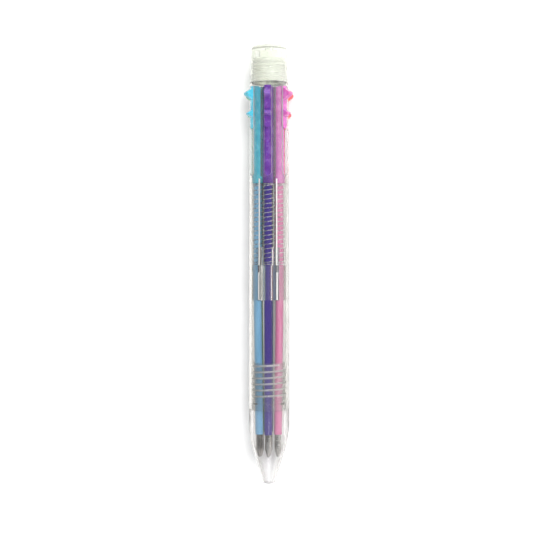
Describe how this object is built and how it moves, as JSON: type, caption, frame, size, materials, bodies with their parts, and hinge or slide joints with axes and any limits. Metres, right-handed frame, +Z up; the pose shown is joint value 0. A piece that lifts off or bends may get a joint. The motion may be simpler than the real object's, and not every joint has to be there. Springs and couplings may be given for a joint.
{
  "type": "multicolour click pen",
  "caption": "Slim clear-barrelled ballpoint pen with sliding thumb pieces round its top, each pushing its own spring-loaded coloured refill out through one nose hole.",
  "frame": {"origin": "middle of the pen's bounding box, on the table that its two lower thumb bumps rest on", "axes": "+Y along the pen towards the end cap, +Z up from the table, +X across the pen"},
  "size_m": [0.0176, 0.146, 0.0162],
  "materials": {
    "clear_polystyrene": "clear, moulded, polished",
    "frosted_polypropylene": "milky, satin",
    "clear_guide": "clear, moulded",
    "milky_core": "milky, satin",
    "spring_steel": "drawn wire, bright",
    "nickel_silver": "turned, bright",
    "ball_steel": "polished",
    "slider_purple": "moulded, slightly translucent",
    "tube_purple": "extruded, translucent",
    "ink_purple": "wet ink",
    "slider_pink": "moulded, slightly translucent",
    "tube_pink": "extruded, translucent",
    "ink_pink": "wet ink",
    "slider_red": "moulded, slightly translucent",
    "tube_red": "extruded, translucent",
    "ink_red": "wet ink",
    "slider_navy": "moulded, slightly translucent",
    "tube_navy": "extruded, translucent",
    "ink_navy": "wet ink",
    "slider_green": "moulded, slightly translucent",
    "tube_green": "extruded, translucent",
    "ink_green": "wet ink",
    "slider_cyan": "moulded, slightly translucent",
    "tube_cyan": "extruded, translucent",
    "ink_cyan": "wet ink"
  },
  "bodies": {
    "pen_body": {"barrel": "clear_polystyrene", "nose_cone": "clear_polystyrene", "end_cap": "frosted_polypropylene", "spring_guide": "clear_guide", "latch_core": "milky_core", "spring_purple": "spring_steel", "spring_pink": "spring_steel", "spring_red": "spring_steel", "spring_navy": "spring_steel", "spring_green": "spring_steel", "spring_cyan": "spring_steel"},
    "purple_slider": {"slider_purple": "slider_purple", "refill_tube_purple": "tube_purple", "ink_purple": "ink_purple"},
    "purple_tip": {"refill_point_purple": "nickel_silver", "ball_purple": "ball_steel"},
    "pink_slider": {"slider_pink": "slider_pink", "refill_tube_pink": "tube_pink", "ink_pink": "ink_pink"},
    "pink_tip": {"refill_point_pink": "nickel_silver", "ball_pink": "ball_steel"},
    "red_slider": {"slider_red": "slider_red", "refill_tube_red": "tube_red", "ink_red": "ink_red"},
    "red_tip": {"refill_point_red": "nickel_silver", "ball_red": "ball_steel"},
    "navy_slider": {"slider_navy": "slider_navy", "refill_tube_navy": "tube_navy", "ink_navy": "ink_navy"},
    "navy_tip": {"refill_point_navy": "nickel_silver", "ball_navy": "ball_steel"},
    "green_slider": {"slider_green": "slider_green", "refill_tube_green": "tube_green", "ink_green": "ink_green"},
    "green_tip": {"refill_point_green": "nickel_silver", "ball_green": "ball_steel"},
    "cyan_slider": {"slider_cyan": "slider_cyan", "refill_tube_cyan": "tube_cyan", "ink_cyan": "ink_cyan"},
    "cyan_tip": {"refill_point_cyan": "nickel_silver", "ball_cyan": "ball_steel"}
  },
  "joints": [
    {"name": "purple_slide", "type": "slide", "parent": "pen_body", "child": "purple_slider", "axis": [0, -1, 0], "range_m": [0, 0.0115], "stiffness_N_per_m": 120, "springref_m": -0.005, "deforming": ["spring_purple"]},
    {"name": "purple_flex", "type": "hinge", "parent": "purple_slider", "child": "purple_tip", "pos_m": [0.00202, -0.015, 0.01159], "axis": [0.866, 0, -0.5], "range_deg": [0, 3.99], "deforming": ["refill_tube_purple", "ink_purple", "refill_point_purple", "ball_purple"]},
    {"name": "pink_slide", "type": "slide", "parent": "pen_body", "child": "pink_slider", "axis": [0, -1, 0], "range_m": [0, 0.0115], "stiffness_N_per_m": 120, "springref_m": -0.005, "deforming": ["spring_pink"]},
    {"name": "pink_flex", "type": "hinge", "parent": "pink_slider", "child": "pink_tip", "pos_m": [0.00405, -0.015, 0.00809], "axis": [0, 0, -1], "range_deg": [0, 3.99], "deforming": ["refill_tube_pink", "ink_pink", "refill_point_pink", "ball_pink"]},
    {"name": "red_slide", "type": "slide", "parent": "pen_body", "child": "red_slider", "axis": [0, -1, 0], "range_m": [0, 0.0115], "stiffness_N_per_m": 120, "springref_m": -0.005, "deforming": ["spring_red"]},
    {"name": "red_flex", "type": "hinge", "parent": "red_slider", "child": "red_tip", "pos_m": [0.00202, -0.015, 0.00458], "axis": [-0.866, 0, -0.5], "range_deg": [0, 3.99], "deforming": ["refill_tube_red", "ink_red", "refill_point_red", "ball_red"]},
    {"name": "navy_slide", "type": "slide", "parent": "pen_body", "child": "navy_slider", "axis": [0, -1, 0], "range_m": [0, 0.0115], "stiffness_N_per_m": 120, "springref_m": -0.005, "deforming": ["spring_navy"]},
    {"name": "navy_flex", "type": "hinge", "parent": "navy_slider", "child": "navy_tip", "pos_m": [-0.00202, -0.015, 0.00458], "axis": [-0.866, 0, 0.5], "range_deg": [0, 3.99], "deforming": ["refill_tube_navy", "ink_navy", "refill_point_navy", "ball_navy"]},
    {"name": "green_slide", "type": "slide", "parent": "pen_body", "child": "green_slider", "axis": [0, -1, 0], "range_m": [0, 0.0115], "stiffness_N_per_m": 120, "springref_m": -0.005, "deforming": ["spring_green"]},
    {"name": "green_flex", "type": "hinge", "parent": "green_slider", "child": "green_tip", "pos_m": [-0.00405, -0.015, 0.00809], "axis": [0, 0, 1], "range_deg": [0, 3.99], "deforming": ["refill_tube_green", "ink_green", "refill_point_green", "ball_green"]},
    {"name": "cyan_slide", "type": "slide", "parent": "pen_body", "child": "cyan_slider", "axis": [0, -1, 0], "range_m": [0, 0.0115], "stiffness_N_per_m": 120, "springref_m": -0.005, "deforming": ["spring_cyan"]},
    {"name": "cyan_flex", "type": "hinge", "parent": "cyan_slider", "child": "cyan_tip", "pos_m": [-0.00202, -0.015, 0.01159], "axis": [0.866, 0, 0.5], "range_deg": [0, 3.99], "deforming": ["refill_tube_cyan", "ink_cyan", "refill_point_cyan", "ball_cyan"]}
  ],
  "couplings": [
    {"joint": "purple_flex", "follows": "purple_slide", "rad_per_m": 5.9038},
    {"joint": "pink_flex", "follows": "pink_slide", "rad_per_m": 5.9038},
    {"joint": "red_flex", "follows": "red_slide", "rad_per_m": 5.9038},
    {"joint": "navy_flex", "follows": "navy_slide", "rad_per_m": 5.9038},
    {"joint": "green_flex", "follows": "green_slide", "rad_per_m": 5.9038},
    {"joint": "cyan_flex", "follows": "cyan_slide", "rad_per_m": 5.9038}
  ]
}
